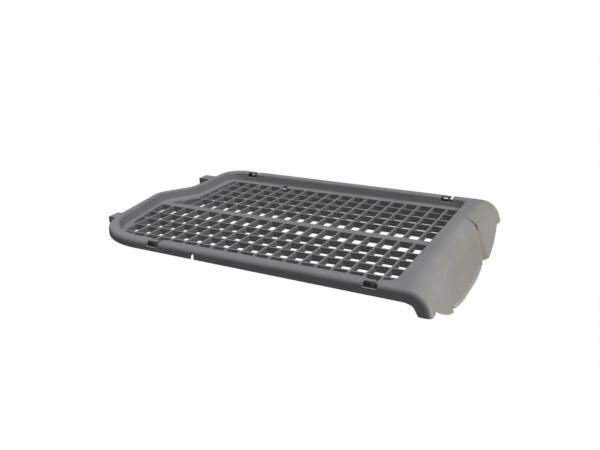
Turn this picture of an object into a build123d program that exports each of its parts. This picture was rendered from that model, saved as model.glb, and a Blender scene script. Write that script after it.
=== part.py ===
from build123d import *
from math import radians, tan
import os

# Drying rack for a tumble dryer, one moulded piece, sizes in millimetres.
# The drawing level z = 0 is the top of the rib grid. +X points to the hanging apron, +Z is up.
# At the end the piece is lifted so that its lowest edge stands on z = 0.

# Grid of the deck
COLUMN_PITCH = 22.0
COLUMN_COUNT = 20
RIB_THICK = 2.5
RIB_DEPTH = 9.0
STRIP_HALF = 7.2
ROW_RIB_FIRST = 42.4
ROW_PITCH = 28.3
ROW_RIBS_EACH_SIDE = 4
FIRST_COLUMN_EXTRA = 4.0

# Walls and rim
WALL = 2.5
SIDE_HALF = 166.0
SIDE_MARGIN = 13.0
LEAST_MARGIN = 7.0
RIM_WIDTH = 16.5
BACK_RIM_WIDTH = 10.0
RIM_HEIGHT = 14.5
RIM_ROUND = 6.0
RIM_INNER_ROUND = 3.5
RIM_FOOT_ROUND = 3.8
RIM_DRAFT_DEGREES = 15.0
SKIRT_BOTTOM = -1.5
SKIRT_BOTTOM_BACK = 3.0
WELL_WALL_BOTTOM = -4.0

# Well outline, at the top of the rim's inner wall all round the deck
GRID_FRONT = COLUMN_PITCH * (COLUMN_COUNT / 2 - 0.5)
WELL_FRONT = GRID_FRONT + FIRST_COLUMN_EXTRA
BACK_FAR = -209.0
BACK_STEP_START = 58.0
BACK_APEX_X = -242.0
BACK_APEX_Y = 8.0
BACK_NEAR = -214.0
FRONT_CORNER_ROUND = 14.0
FAR_CORNER_ROUND = 28.0
STEP_ROUND = 45.0
APEX_ROUND = 32.0
NEAR_CORNER_ROUND = 80.0

# Outline of the open cells at the back end
FIELD_FAR = BACK_FAR + 11.0
FIELD_STEP_START = 42.0
FIELD_APEX = -231.0
FIELD_APEX_NEAR_Y = -58.0
FIELD_APEX_FAR_Y = -2.0
FIELD_NEAR = -195.0
SMALLEST_CELL = 40.0

# Apron: wings that flare forward on both sides of a sunk middle panel
SHOULDER_X = 247.6
FRONT_LEAN = 0.30
FLARE_DEGREES = 4.5
SHOULDER_ROUND = 30.0
PANEL_HALF = 86.0
PANEL_STEP = 1.5
PANEL_LEAN = 0.21
PANEL_ROUND = 28.0
PANEL_WALL_SLOPE = 1.2
FOOT_BOTTOM = -16.0
FOOT_INNER_Y = 158.0
FOOT_BACK_X = 248.0
LEG_START_X = 232.0
LEG_KNEE_X = 241.0
LEG_KNEE_Z = -4.0
LEG_TOP_ROUND = 12.0
LEG_KNEE_ROUND = 8.0
CURVE_MID_Y = 130.0
CURVE_MID_Z = -33.5
CURVE_END_Z = -48.0

# Lower edge of the panel: flat in the middle, curving up to a notch and a corner tab
APRON_BOTTOM = -58.0
EDGE_FLAT_HALF = 22.0
EDGE_CURVE_HALF = 73.0
EDGE_CURVE_Z = -51.5
NOTCH_WIDE = 4.0
NOTCH_TOP = -48.5
TAB_BOTTOM = -53.0
LIP_OUT = 2.2
LIP_HIGH = 2.2

# Lugs at the back end: middle across the rack and end along it
LUG_FAR = (117.0, -239.0)
LUG_NEAR = (-110.0, -243.0)
LUG_WIDE = 20.0
LUG_HIGH = 10.0
LUG_BELOW_RIM = 1.0
LUG_ROUND = 3.0

# Snap tongues in the rim: back end of each window and its side
TONGUE_WINDOWS = [(-124.0, -1), (181.0, -1), (-174.0, 1), (173.0, 1)]
WINDOW_LONG = 18.0
WINDOW_SILL = 7.5
TONGUE_LONG = 14.0
TONGUE_WIDE = 5.5
TONGUE_THICK = 2.4
HOOK_DROP = 4.0
HOOK_LONG = 2.4
HOOK_FROM_TIP = 2.4

# Drains: a slit in the near skirt, and one notch in each margin
# Each notch is given as its middle, width, depth, run across the margin, and side
SLIT_X = -52.0
SLIT_WIDE = 5.2
SLIT_TOP = 9.5
DRAIN_NOTCHES = [(-68.5, 13.0, 10.0, 13.0, -1), (-96.7, 8.5, 2.6, 9.0, 1)]
DRAIN_NOTCH_TOP = 0.5

# Helpers: a length beyond every edge, the overlap of a cut, and a reading tolerance
FAR_AWAY = 400.0
OVERCUT = 1.0
NEARLY = 0.01
OUTER_HALF = SIDE_HALF + RIM_WIDTH
DRAFT_RUN = RIM_HEIGHT * tan(radians(RIM_DRAFT_DEGREES))


def rounded(points, radii):
    """Closed outline through the points with its own rounding at each corner."""
    face = make_face(Polyline(*points, close=True))
    for point, radius in zip(points, radii):
        if radius > 0:
            corner = face.vertices().sort_by_distance(Vector(*point))[0]
            face = fillet(corner, radius)
    return face


def plan_outline(front, front_round, side_grow, back_grow):
    """Plan of the sunk deck with its stepped back end, grown by the given widths."""
    half = SIDE_HALF + side_grow
    points = [
        (front, half),
        (BACK_FAR - back_grow, half),
        (BACK_FAR - back_grow, BACK_STEP_START),
        (BACK_APEX_X - back_grow, BACK_APEX_Y),
        (BACK_NEAR - back_grow, -half),
        (front, -half),
    ]
    radii = [
        front_round,
        FAR_CORNER_ROUND + back_grow,
        STEP_ROUND - back_grow,
        APEX_ROUND + back_grow,
        NEAR_CORNER_ROUND + back_grow,
        front_round,
    ]
    return rounded(points, radii)


def well_outline():
    """Plan of the sunk deck at the top of the rim."""
    return plan_outline(WELL_FRONT, FRONT_CORNER_ROUND, 0, 0)


def foot_outline(grow):
    """Plan of the sunk deck at the foot of the rim's drafted inner wall, grown by a width."""
    return offset(well_outline(), grow - DRAFT_RUN, kind=Kind.ARC)


def well_space(grow, low, high):
    """Space of the well: straight below the deck, widening up to the given height above it."""
    foot = foot_outline(grow)
    return slab(foot, low, 0) + extrude(foot, high, dir=(0, 0, 1), taper=-RIM_DRAFT_DEGREES)


def field_outline():
    """Plan of the part of the deck that carries open cells."""
    half = SIDE_HALF - SIDE_MARGIN
    points = [
        (WELL_FRONT, half),
        (FIELD_FAR, half),
        (FIELD_FAR, FIELD_STEP_START),
        (FIELD_APEX, FIELD_APEX_FAR_Y),
        (FIELD_APEX, FIELD_APEX_NEAR_Y),
        (FIELD_NEAR, -half),
        (WELL_FRONT, -half),
    ]
    field = make_face(Polyline(*points, close=True))
    return field & offset(well_outline(), -LEAST_MARGIN, kind=Kind.ARC)


def slab(face, low, high):
    """Plan face raised to a solid between two levels."""
    return extrude(Pos(0, 0, low) * face, high - low, dir=(0, 0, 1))


def side_profile(points, radii):
    """Outline drawn in X and Z, placed on the plane Y = 0."""
    return Plane.XZ * rounded(points, radii)


def across(face, half):
    """Side profile spread over the width to both sides."""
    return extrude(face, half, both=True)


def both_sides(solid):
    """Solid of the far side together with its mirror image on the near side."""
    return solid + mirror(solid, about=Plane.XZ)


def slant(lean):
    """Length along a leaning face for each unit of height."""
    return (1 + lean ** 2) ** 0.5


def front_x(z, inward):
    """X of the apron's wings beside the panel, moved inward square to their face."""
    return SHOULDER_X + (RIM_HEIGHT - z) * FRONT_LEAN - inward * slant(FRONT_LEAN)


def panel_x(z, inward):
    """X of the apron's sunk panel, moved inward square to its face."""
    top_x = SHOULDER_X - PANEL_STEP
    return top_x + (RIM_HEIGHT - z) * PANEL_LEAN - inward * slant(PANEL_LEAN)


def behind_front(inset):
    """Everything behind the apron's front, with wings that flare from the panel outward."""
    top = RIM_HEIGHT - inset
    low = APRON_BOTTOM - OVERCUT - inset
    points = [
        (-FAR_AWAY, low),
        (front_x(low, inset), low),
        (front_x(top, inset), top),
        (-FAR_AWAY, top),
    ]
    profile = side_profile(points, [0, 0, SHOULDER_ROUND - inset, 0])
    flare = (tan(radians(FLARE_DEGREES)), 1, 0)
    wing = extrude(Pos(0, PANEL_HALF, 0) * profile, FAR_AWAY, dir=flare)
    return across(profile, PANEL_HALF) + both_sides(wing)


def panel_recess(inset):
    """Space in front of the sunk panel, between its sloping side walls."""
    top = RIM_HEIGHT - inset
    low = APRON_BOTTOM - 2 * OVERCUT - inset
    points = [
        (panel_x(low, inset), low),
        (panel_x(top, inset), top),
        (-FAR_AWAY, top),
        (-FAR_AWAY, FAR_AWAY),
        (FAR_AWAY, FAR_AWAY),
        (FAR_AWAY, low),
    ]
    space = across(side_profile(points, [0, PANEL_ROUND - inset, 0, 0, 0, 0]), FAR_AWAY)
    start_x = panel_x(FAR_AWAY, inset)
    start_half = PANEL_HALF + inset * (slant(PANEL_WALL_SLOPE) - PANEL_WALL_SLOPE)
    end_x = start_x + FAR_AWAY
    end_half = start_half + FAR_AWAY * PANEL_WALL_SLOPE
    plan = make_face(
        Polyline(
            (start_x - FAR_AWAY, start_half),
            (start_x, start_half),
            (end_x, end_half),
            (end_x, -end_half),
            (start_x, -start_half),
            (start_x - FAR_AWAY, -start_half),
            close=True,
        )
    )
    drop = (FAR_AWAY - low) * slant(PANEL_LEAN)
    wedge = extrude(Pos(0, 0, FAR_AWAY) * plan, drop, dir=(PANEL_LEAN, 0, -1))
    return space & wedge


def casing(inset):
    """Solid form of rim and apron, drawn smaller by the inset on every face."""
    top = RIM_HEIGHT - inset
    bottom = APRON_BOTTOM - OVERCUT - inset
    half = OUTER_HALF - inset
    plan = plan_outline(FAR_AWAY, 0, RIM_WIDTH - inset, BACK_RIM_WIDTH - inset)
    body = slab(plan, bottom, top) & behind_front(inset)
    shoulder_start = SHOULDER_X - SHOULDER_ROUND
    rim_edges = body.edges().filter_by_position(Axis.Z, top - NEARLY, top + NEARLY)
    rim_edges = rim_edges.filter_by(
        lambda edge: edge.center().X < shoulder_start - WALL and abs(edge.center().Y) > NEARLY
    )
    front_edges = body.edges().filter_by(
        lambda edge: edge.center().X > shoulder_start
        and abs(abs(edge.center().Y) - half) < NEARLY
        and edge.center().Z > bottom + NEARLY
    )
    body = fillet(rim_edges + front_edges, RIM_ROUND - inset)
    return body - panel_recess(inset)


def panel_edge_cut():
    """Everything below the panel's lower edge on the far half."""
    tab_start = EDGE_CURVE_HALF + NOTCH_WIDE
    flat = Line((0, APRON_BOTTOM), (EDGE_FLAT_HALF, APRON_BOTTOM))
    curve = TangentArc(
        (EDGE_FLAT_HALF, APRON_BOTTOM), (EDGE_CURVE_HALF, EDGE_CURVE_Z), tangent=(1, 0)
    )
    corner = Polyline(
        (EDGE_CURVE_HALF, EDGE_CURVE_Z),
        (EDGE_CURVE_HALF, NOTCH_TOP),
        (tab_start, NOTCH_TOP),
        (tab_start, TAB_BOTTOM),
        (PANEL_HALF, TAB_BOTTOM),
        (PANEL_HALF, -FAR_AWAY),
        (0, -FAR_AWAY),
        (0, APRON_BOTTOM),
    )
    face = make_face(Curve() + [flat, curve, corner])
    return extrude(Pos(FOOT_BACK_X, 0, 0) * (Plane.YZ * face), FAR_AWAY)


def wing_edge_cut():
    """Everything below the far foot and the curved lower edge of the far wing."""
    foot = Polyline(
        (PANEL_HALF, -FAR_AWAY),
        (FAR_AWAY, -FAR_AWAY),
        (FAR_AWAY, FOOT_BOTTOM),
        (FOOT_INNER_Y, FOOT_BOTTOM),
    )
    curve = ThreePointArc(
        (FOOT_INNER_Y, FOOT_BOTTOM), (CURVE_MID_Y, CURVE_MID_Z), (PANEL_HALF, CURVE_END_Z)
    )
    end = Line((PANEL_HALF, CURVE_END_Z), (PANEL_HALF, -FAR_AWAY))
    face = make_face(Curve() + [foot, curve, end])
    return extrude(Pos(FOOT_BACK_X, 0, 0) * (Plane.YZ * face), FAR_AWAY)


def lower_trims():
    """Everything below the skirt, the legs and the lower edge of the apron."""
    points = [
        (-FAR_AWAY, SKIRT_BOTTOM_BACK),
        (BACK_APEX_X, SKIRT_BOTTOM_BACK),
        (LEG_START_X, SKIRT_BOTTOM),
        (LEG_KNEE_X, LEG_KNEE_Z),
        (FOOT_BACK_X, FOOT_BOTTOM),
        (FOOT_BACK_X, -FAR_AWAY),
        (-FAR_AWAY, -FAR_AWAY),
    ]
    radii = [0, 0, LEG_TOP_ROUND, LEG_KNEE_ROUND, 0, 0, 0]
    side_cut = across(side_profile(points, radii), FAR_AWAY)
    return side_cut + both_sides(panel_edge_cut()) + both_sides(wing_edge_cut())


def lip():
    """Small ledge along the curved lower edge of the sunk panel."""
    low = APRON_BOTTOM - OVERCUT
    points = [
        (panel_x(low, WALL / 2), low),
        (panel_x(low, -LIP_OUT), low),
        (panel_x(FOOT_BOTTOM, -LIP_OUT), FOOT_BOTTOM),
        (panel_x(FOOT_BOTTOM, WALL / 2), FOOT_BOTTOM),
    ]
    ledge = across(side_profile(points, [0, 0, 0, 0]), EDGE_CURVE_HALF)
    below = both_sides(panel_edge_cut())
    return (ledge & (Pos(0, 0, LIP_HIGH) * below)) - below


def cell_rows():
    """Low and high edge of each row of cells on one side of the middle strip."""
    half_rib = RIB_THICK / 2
    edges = [(STRIP_HALF, ROW_RIB_FIRST - half_rib)]
    for row in range(ROW_RIBS_EACH_SIDE):
        rib_at = ROW_RIB_FIRST + row * ROW_PITCH
        edges.append((rib_at + half_rib, rib_at + ROW_PITCH - half_rib))
    return edges


def deck():
    """Rib grid with its middle strip and the flat margin round it."""
    field = field_outline()
    cells = []
    for column in range(COLUMN_COUNT + 1):
        back = GRID_FRONT - (column + 1) * COLUMN_PITCH + RIB_THICK / 2
        front = WELL_FRONT if column == 0 else back + COLUMN_PITCH - RIB_THICK
        for low, high in cell_rows():
            for side in (1, -1):
                middle = Pos((front + back) / 2, side * (low + high) / 2)
                kept = (middle * Rectangle(front - back, high - low)) & field
                if kept is not None:
                    cells.extend(face for face in kept.faces() if face.area > SMALLEST_CELL)
    below = -RIB_DEPTH - OVERCUT
    block = slab(foot_outline(WALL / 2), -RIB_DEPTH, 0)
    block = block - slab(Sketch() + cells, below, OVERCUT)
    margin = foot_outline(WALL) - offset(field, RIB_THICK, kind=Kind.INTERSECTION)
    block = block - slab(margin, below, -WALL)
    strip_front = WELL_FRONT - LEAST_MARGIN
    strip = Rectangle(strip_front - FIELD_APEX, 2 * (STRIP_HALF - RIB_THICK))
    return block - slab(Pos((strip_front + FIELD_APEX) / 2, 0) * strip, below, -WALL)


def lug(middle_y, end_x):
    """Solid tab behind the back rim that plugs into the dryer."""
    share = (BACK_APEX_Y - middle_y) / (BACK_APEX_Y + SIDE_HALF)
    foot = BACK_FAR if middle_y > 0 else BACK_APEX_X + share * (BACK_NEAR - BACK_APEX_X)
    root = foot - BACK_RIM_WIDTH + WALL
    middle_z = RIM_HEIGHT - LUG_BELOW_RIM - LUG_HIGH / 2
    tab = Pos((root + end_x) / 2, middle_y, middle_z) * Box(root - end_x, LUG_WIDE, LUG_HIGH)
    end_edges = tab.edges().filter_by(lambda edge: edge.center().X < end_x + NEARLY)
    return fillet(end_edges, LUG_ROUND)


def window(back_x, side):
    """Opening across the rim for a snap tongue."""
    high = RIM_HEIGHT - WINDOW_SILL + OVERCUT
    middle_y = side * (SIDE_HALF + RIM_WIDTH / 2)
    place = Pos(back_x + WINDOW_LONG / 2, middle_y, WINDOW_SILL + high / 2)
    return place * Box(WINDOW_LONG, RIM_WIDTH + 2 * DRAFT_RUN, high)


def tongue(back_x, side):
    """Springy tongue at the top of the rim with a hook below its free end."""
    middle_y = side * (SIDE_HALF + RIM_WIDTH / 2)
    middle_z = RIM_HEIGHT - TONGUE_THICK / 2
    bar_long = TONGUE_LONG + WALL
    bar = Box(bar_long, TONGUE_WIDE, TONGUE_THICK)
    bar = Pos(back_x - WALL + bar_long / 2, middle_y, middle_z) * bar
    hook_high = HOOK_DROP + TONGUE_THICK / 2
    hook_x = back_x + TONGUE_LONG - HOOK_FROM_TIP - HOOK_LONG / 2
    hook = Box(HOOK_LONG, TONGUE_WIDE, hook_high)
    return bar + Pos(hook_x, middle_y, middle_z - hook_high / 2) * hook


def slit():
    """Drain slit in the near skirt."""
    below = -RIB_DEPTH - OVERCUT
    high = SLIT_TOP - below
    return Pos(SLIT_X, -OUTER_HALF + WALL, below + high / 2) * Box(SLIT_WIDE, 3 * WALL, high)


def drain_notch(middle_x, wide, deep, run, side):
    """Notch that takes a cell of the last row on across the margin towards the rim."""
    high = deep + DRAIN_NOTCH_TOP
    middle_y = SIDE_HALF - SIDE_MARGIN + (run - OVERCUT) / 2
    return Pos(middle_x, side * middle_y, DRAIN_NOTCH_TOP - high / 2) * Box(wide, run + OVERCUT, high)


def edges_along(body, outline, level):
    """Edges of the body that follow a plan outline at one level."""
    guides = (Pos(0, 0, level) * outline).edges()
    return body.edges().filter_by_position(Axis.Z, level - NEARLY, level + NEARLY).filter_by(
        lambda edge: min(edge.distance_to(guide) for guide in guides) < NEARLY
    )


def rack():
    """The whole moulding at the drawing level."""
    space = well_space(0, -FAR_AWAY, RIM_HEIGHT + OVERCUT)
    shell = casing(0) - casing(WALL)
    shell = shell - lower_trims()
    body = shell + well_space(WALL, WELL_WALL_BOTTOM, RIM_HEIGHT) - space
    body = fillet(edges_along(body, well_outline(), RIM_HEIGHT), RIM_INNER_ROUND)
    body = body + deck()
    body = fillet(edges_along(body, foot_outline(0), 0), RIM_FOOT_ROUND)
    body = body + lip() + lug(*LUG_FAR) + lug(*LUG_NEAR)
    for back_x, side in TONGUE_WINDOWS:
        body = body - window(back_x, side)
        body = body + tongue(back_x, side)
    for notch in DRAIN_NOTCHES:
        body = body - drain_notch(*notch)
    return body - slit()


shape = rack()
box = shape.bounding_box()
shape = Pos(-(box.min.X + box.max.X) / 2, -(box.min.Y + box.max.Y) / 2, -box.min.Z) * shape
os.makedirs("parts", exist_ok=True)
export_step(shape.solids()[0], "parts/drying_rack.step")
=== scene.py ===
"""Looks of the drying rack: one grey moulding on a pale studio floor.

Lengths are in metres and angles in degrees, except the camera's lens and sensor, which are in millimetres.
"""
from math import cos, pi, radians, sin

import bpy
from mathutils import Matrix, Vector


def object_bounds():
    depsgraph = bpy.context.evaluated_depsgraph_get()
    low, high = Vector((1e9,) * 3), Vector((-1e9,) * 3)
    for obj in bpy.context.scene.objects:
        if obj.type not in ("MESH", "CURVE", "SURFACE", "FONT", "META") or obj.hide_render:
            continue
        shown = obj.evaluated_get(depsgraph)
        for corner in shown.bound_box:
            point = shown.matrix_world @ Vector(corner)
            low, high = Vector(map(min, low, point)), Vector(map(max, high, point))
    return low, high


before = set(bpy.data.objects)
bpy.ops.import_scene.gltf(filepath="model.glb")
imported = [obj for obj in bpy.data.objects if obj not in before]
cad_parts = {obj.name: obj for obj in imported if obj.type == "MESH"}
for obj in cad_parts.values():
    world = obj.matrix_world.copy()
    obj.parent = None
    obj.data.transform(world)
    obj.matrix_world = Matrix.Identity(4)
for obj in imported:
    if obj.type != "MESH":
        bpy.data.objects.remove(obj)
cad_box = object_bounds()

# Camera of the photograph
CAMERA_PLACE = Vector((0.4380, -0.8575, 0.3981))
CAMERA_HEADING = 26.91
CAMERA_TILT = 70.42
CAMERA_ROLL = -0.84
SENSOR_WIDTH = 36.0
LENS = 41.98

# Plastic: grey with faint clouds in its colour and gloss, and a fine grain
GREY = (0.205, 0.205, 0.208)
SPECULAR = 0.4
CLOUD_SIZE = 0.06
CLOUD_DETAIL = 4.0
CLOUD_LIMITS = (0.3, 0.7)
CLOUD_TONES = (0.95, 1.05)
ROUGHNESS = (0.48, 0.66)
GRAIN_SIZE = 0.0009
GRAIN_DETAIL = 2.0
GRAIN_HEIGHT = 0.00002
GRAIN_STRENGTH = 0.5
EDGE_SAMPLES = 6
EDGE_SOFTNESS = 0.0006

# Wear and painted highlight along the edges: how alike the rounded and the true surface direction are where
# it starts, and where it is full
WEAR_AND_HIGHLIGHT_LIKENESS = (0.98, 0.88)
# Paler grey for wear and for painted highlight on the edges
GREY_OF_WEAR_AND_HIGHLIGHT = (0.42, 0.415, 0.405)

# Wear and painted highlight on the deck, and then on the apron, which starts at APRON_X
WEAR_AND_HIGHLIGHT_WIDTHS = (0.0012, 0.0022)
WEAR_AND_HIGHLIGHT_SHARES = (0.28, 0.95)
APRON_X = 0.245
APRON_FADE = 0.004

# Front of the apron, painted with shade, darker and warmer towards its far side and darker in its sunk
# panel: the panel is where X + PANEL_LEAN * Z is PANEL_PLANE
FAR_FRONT_SHADE = (0.93, 0.91, 0.86)
FRONT_FADE = 0.008
# Painted shade in the sunk panel
PANEL_SHADE = (0.96, 0.95, 0.93)
PANEL_HALF = 0.086
PANEL_SIDE_FADE = 0.004
PANEL_LEAN = 0.21
PANEL_PLANE = 0.2531

# Distances from the panel's plane: still on the panel, and clear of it
PANEL_NEAR = 0.001
PANEL_CLEAR = 0.002

# Ledge along the panel's lower edge, painted paler as a highlight
LEDGE_HALF = 0.0735
LEDGE_TOP = 0.012
LEDGE_FADE = 0.001
# Share of the painted highlight on the ledge
LEDGE_HIGHLIGHT = 0.6

# Studio
FLOOR_RADIUS = 40.0
FLOOR_SIDES = 64
FLOOR_COLOUR = (0.12, 0.12, 0.12)
FLOOR_ROUGHNESS = 1.0
FLOOR_SPECULAR = 0.0
FLOOR_GLOW = 1.10
FLOOR_GLOW_SHARE = 0.9
SKY_COLOUR = (1.0, 1.0, 1.0)
SKY_LIGHT = 0.10
SKY_SEEN = 1.0
SUN_SOFTNESS = 60.0
SUN_COLOUR = (0.98, 0.99, 1.0)
TOP_FROM = Vector((0.38, -0.05, 0.92))
TOP_POWER = 3.1
BACK_FROM = Vector((-0.88, 0.30, 0.35))
BACK_POWER = 0.6
STRIP_PLACE = Vector((1.50, 0.40, 0.035))
STRIP_AIM = Vector((0.25, 0.0, 0.035))
STRIP_WIDE = 0.7
STRIP_HIGH = 0.07
STRIP_POWER = 15.5
STRIP_COLOUR = (1.0, 0.95, 0.84)

# Limits of a mask, a noise or a share
NONE_TO_FULL = (0.0, 1.0)


def node_of(tree, kind, **values):
    """New shader node with some of its properties set."""
    node = tree.nodes.new(kind)
    for name, value in values.items():
        setattr(node, name, value)
    return node


def opaque(colour):
    """Colour with full cover, as a shader's socket takes it."""
    return (*colour, 1.0)


def feed(tree, socket, value):
    """Link an output to a socket, or set the socket to a plain value."""
    if isinstance(value, bpy.types.NodeSocket):
        tree.links.new(value, socket)
    else:
        socket.default_value = value


def maths(tree, operation, *values):
    """Output of a calculation on outputs and plain numbers."""
    node = node_of(tree, "ShaderNodeMath", operation=operation)
    for socket, value in zip(node.inputs, values):
        feed(tree, socket, value)
    return node.outputs["Value"]


def ramp(tree, value, limits, results=NONE_TO_FULL):
    """Change from the first result, at the first limit, to the second result, at the second limit."""
    node = node_of(tree, "ShaderNodeMapRange")
    names = ("From Min", "From Max", "To Min", "To Max")
    for name, number in zip(names, (*limits, *results)):
        node.inputs[name].default_value = number
    tree.links.new(value, node.inputs["Value"])
    return node.outputs["Result"]


def product(tree, *factors):
    """Product of two or more outputs."""
    total = factors[0]
    for factor in factors[1:]:
        total = maths(tree, "MULTIPLY", total, factor)
    return total


def mixed(tree, kind, share, first, second):
    """Two colours mixed by a share."""
    node = node_of(tree, "ShaderNodeMix", data_type="RGBA", blend_type=kind)
    for name, value in (("Factor", share), ("A", first), ("B", second)):
        feed(tree, node.inputs[name], value)
    return node.outputs["Result"]


def noise(tree, place, size, detail):
    """Even noise with spots of the given size."""
    node = node_of(tree, "ShaderNodeTexNoise")
    node.inputs["Scale"].default_value = 1 / size
    node.inputs["Detail"].default_value = detail
    tree.links.new(place, node.inputs["Vector"])
    return node.outputs["Fac"]


def rounded_normal(tree, radius):
    """Surface direction with each edge rounded by a radius."""
    node = node_of(tree, "ShaderNodeBevel", samples=EDGE_SAMPLES)
    feed(tree, node.inputs["Radius"], radius)
    return node.outputs["Normal"]


def apron_masks(tree, axes):
    """Masks of the apron's front and of its sunk panel, which take painted shade, and of the ledge along
    the panel's lower edge, which takes a painted highlight.
    """
    aside = maths(tree, "ABSOLUTE", axes["Y"])
    forward = maths(tree, "MULTIPLY_ADD", axes["Z"], PANEL_LEAN, axes["X"])
    near_plane = PANEL_PLANE + PANEL_NEAR
    clear_plane = PANEL_PLANE + PANEL_CLEAR
    front = ramp(tree, forward, (PANEL_PLANE - FRONT_FADE, PANEL_PLANE - PANEL_NEAR))
    panel = product(
        tree,
        front,
        ramp(tree, aside, (PANEL_HALF + PANEL_SIDE_FADE, PANEL_HALF)),
        ramp(tree, forward, (clear_plane, near_plane)),
    )
    ledge = product(
        tree,
        ramp(tree, aside, (LEDGE_HALF + LEDGE_FADE, LEDGE_HALF)),
        ramp(tree, forward, (near_plane, clear_plane)),
        ramp(tree, axes["Z"], (LEDGE_TOP + LEDGE_FADE, LEDGE_TOP)),
    )
    return front, panel, ledge


def edge_wear_and_highlight(tree, axes):
    """Paler edges, partly wear and partly painted highlight: more on the apron than on the deck."""
    apron_start = (APRON_X - APRON_FADE, APRON_X + APRON_FADE)
    width = ramp(tree, axes["X"], apron_start, WEAR_AND_HIGHLIGHT_WIDTHS)
    likeness = node_of(tree, "ShaderNodeVectorMath", operation="DOT_PRODUCT")
    tree.links.new(rounded_normal(tree, width), likeness.inputs[0])
    tree.links.new(node_of(tree, "ShaderNodeNewGeometry").outputs["Normal"], likeness.inputs[1])
    worn_and_lit = ramp(tree, likeness.outputs["Value"], WEAR_AND_HIGHLIGHT_LIKENESS)
    return product(tree, worn_and_lit, ramp(tree, axes["X"], apron_start, WEAR_AND_HIGHLIGHT_SHARES))


def clouded_grey(tree, clouds):
    """Grey that varies a little with the clouds."""
    node = node_of(tree, "ShaderNodeValToRGB")
    for stop, limit, tone in zip(node.color_ramp.elements, CLOUD_LIMITS, CLOUD_TONES):
        stop.position = limit
        stop.color = opaque([tone * part for part in GREY])
    tree.links.new(clouds, node.inputs["Fac"])
    return node.outputs["Color"]


def colour_of_plastic(tree, clouds, axes):
    """Clouded grey with painted shade, darker and warmer towards the far side of the apron's front and
    darker in its sunk panel, paler along the edges, partly from wear and partly as painted highlight, and
    paler on the ledge as painted highlight.
    """
    front, panel, ledge = apron_masks(tree, axes)
    far_share = ramp(tree, axes["Y"], (-PANEL_HALF, PANEL_HALF))
    far_front = product(tree, front, far_share)
    # Painted shade: the apron's front darker and warmer towards its far side
    grey_with_front_shade = mixed(tree, "MULTIPLY", far_front, clouded_grey(tree, clouds), opaque(FAR_FRONT_SHADE))
    # Painted shade: the sunk panel darker
    grey_with_painted_shade = mixed(tree, "MULTIPLY", panel, grey_with_front_shade, opaque(PANEL_SHADE))
    # Painted highlight: the ledge paler
    ledge_highlight = maths(tree, "MULTIPLY", ledge, LEDGE_HIGHLIGHT)
    # Paler edges, partly wear and partly painted highlight, together with the painted highlight on the
    # ledge
    wear_and_highlight = maths(tree, "MAXIMUM", edge_wear_and_highlight(tree, axes), ledge_highlight)
    return mixed(tree, "MIX", wear_and_highlight, grey_with_painted_shade, opaque(GREY_OF_WEAR_AND_HIGHLIGHT))


def grain(tree, place):
    """Surface direction with softened edges and a fine moulding grain."""
    node = node_of(tree, "ShaderNodeBump")
    node.inputs["Strength"].default_value = GRAIN_STRENGTH
    node.inputs["Distance"].default_value = GRAIN_HEIGHT
    tree.links.new(noise(tree, place, GRAIN_SIZE, GRAIN_DETAIL), node.inputs["Height"])
    tree.links.new(rounded_normal(tree, EDGE_SOFTNESS), node.inputs["Normal"])
    return node.outputs["Normal"]


def plastic():
    """Matte moulded plastic of the rack."""
    material = bpy.data.materials.new("grey_moulded_plastic")
    material.use_nodes = True
    tree = material.node_tree
    place = node_of(tree, "ShaderNodeTexCoord").outputs["Object"]
    split = node_of(tree, "ShaderNodeSeparateXYZ")
    tree.links.new(place, split.inputs["Vector"])
    clouds = noise(tree, place, CLOUD_SIZE, CLOUD_DETAIL)

    shader = tree.nodes["Principled BSDF"]
    shader.inputs["Specular IOR Level"].default_value = SPECULAR
    colour = colour_of_plastic(tree, clouds, split.outputs)
    tree.links.new(colour, shader.inputs["Base Color"])
    tree.links.new(ramp(tree, clouds, NONE_TO_FULL, ROUGHNESS), shader.inputs["Roughness"])
    tree.links.new(grain(tree, place), shader.inputs["Normal"])
    return material


def add_light(data, place, direction):
    """Object of a light that shines along a direction."""
    light = bpy.data.objects.new(data.name, data)
    light.location = place
    light.rotation_euler = direction.to_track_quat("-Z", "Y").to_euler()
    bpy.context.scene.collection.objects.link(light)


def sun(name, source, power):
    """Broad even light from the side that the source vector points to."""
    data = bpy.data.lights.new(name, "SUN")
    data.energy = power
    data.angle = radians(SUN_SOFTNESS)
    data.color = SUN_COLOUR
    add_light(data, source, -source)


def strip():
    """Long low light in front of the apron, below the level of the rim."""
    data = bpy.data.lights.new("strip", "AREA")
    data.shape = "RECTANGLE"
    data.size = STRIP_WIDE
    data.size_y = STRIP_HIGH
    data.energy = STRIP_POWER
    data.color = STRIP_COLOUR
    add_light(data, STRIP_PLACE, STRIP_AIM - STRIP_PLACE)


def seen_by_camera(tree):
    """Mask that is full only for what the camera sees directly."""
    return node_of(tree, "ShaderNodeLightPath").outputs["Is Camera Ray"]


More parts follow.
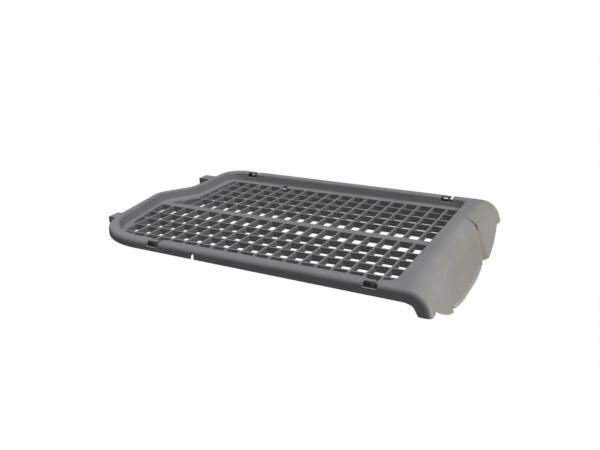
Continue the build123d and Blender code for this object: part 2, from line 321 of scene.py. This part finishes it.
def floor_paint():
    """Dull paint that glows for the camera, so that the floor looks pale and takes only a faint shadow."""
    material = bpy.data.materials.new("floor_paint")
    material.use_nodes = True
    tree = material.node_tree
    paint = tree.nodes["Principled BSDF"]
    paint.inputs["Base Color"].default_value = opaque(FLOOR_COLOUR)
    paint.inputs["Roughness"].default_value = FLOOR_ROUGHNESS
    paint.inputs["Specular IOR Level"].default_value = FLOOR_SPECULAR
    glow = node_of(tree, "ShaderNodeEmission")
    glow.inputs["Strength"].default_value = FLOOR_GLOW
    share = maths(tree, "MULTIPLY", seen_by_camera(tree), FLOOR_GLOW_SHARE)
    both = node_of(tree, "ShaderNodeMixShader")
    tree.links.new(share, both.inputs["Fac"])
    tree.links.new(paint.outputs["BSDF"], both.inputs[1])
    tree.links.new(glow.outputs["Emission"], both.inputs[2])
    tree.links.new(both.outputs["Shader"], tree.nodes["Material Output"].inputs["Surface"])
    return material


def floor():
    """Plain round floor under the lowest edge of the rack."""
    mesh = bpy.data.meshes.new("floor")
    turns = [2 * pi * side / FLOOR_SIDES for side in range(FLOOR_SIDES)]
    level = cad_box[0].z
    ring = [(FLOOR_RADIUS * cos(turn), FLOOR_RADIUS * sin(turn), level) for turn in turns]
    mesh.from_pydata(ring, [], [tuple(range(FLOOR_SIDES))])
    mesh.materials.append(floor_paint())
    piece = bpy.data.objects.new("floor", mesh)
    bpy.context.scene.collection.objects.link(piece)


def sky():
    """Dim even light from all round, which looks as pale as the floor."""
    world = bpy.data.worlds.new("studio")
    world.use_nodes = True
    tree = world.node_tree
    background = tree.nodes["Background"]
    background.inputs["Color"].default_value = opaque(SKY_COLOUR)
    strength = ramp(tree, seen_by_camera(tree), NONE_TO_FULL, (SKY_LIGHT, SKY_SEEN))
    tree.links.new(strength, background.inputs["Strength"])
    bpy.context.scene.world = world


def camera():
    """Camera at the photograph's viewing angle."""
    data = bpy.data.cameras.new("camera")
    data.sensor_fit = "HORIZONTAL"
    data.sensor_width = SENSOR_WIDTH
    data.lens = LENS
    view = Matrix.Translation(CAMERA_PLACE)
    for angle, axis in ((CAMERA_HEADING, "Z"), (CAMERA_TILT, "X"), (CAMERA_ROLL, "Z")):
        view = view @ Matrix.Rotation(radians(angle), 4, axis)
    piece = bpy.data.objects.new("camera", data)
    piece.matrix_world = view
    bpy.context.scene.collection.objects.link(piece)
    bpy.context.scene.camera = piece


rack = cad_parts["drying_rack"]
rack.material_slots[0].material = plastic()

floor()
sky()
sun("top", TOP_FROM, TOP_POWER)
sun("back", BACK_FROM, BACK_POWER)
strip()
camera()
bpy.context.scene.view_settings.view_transform = "Standard"
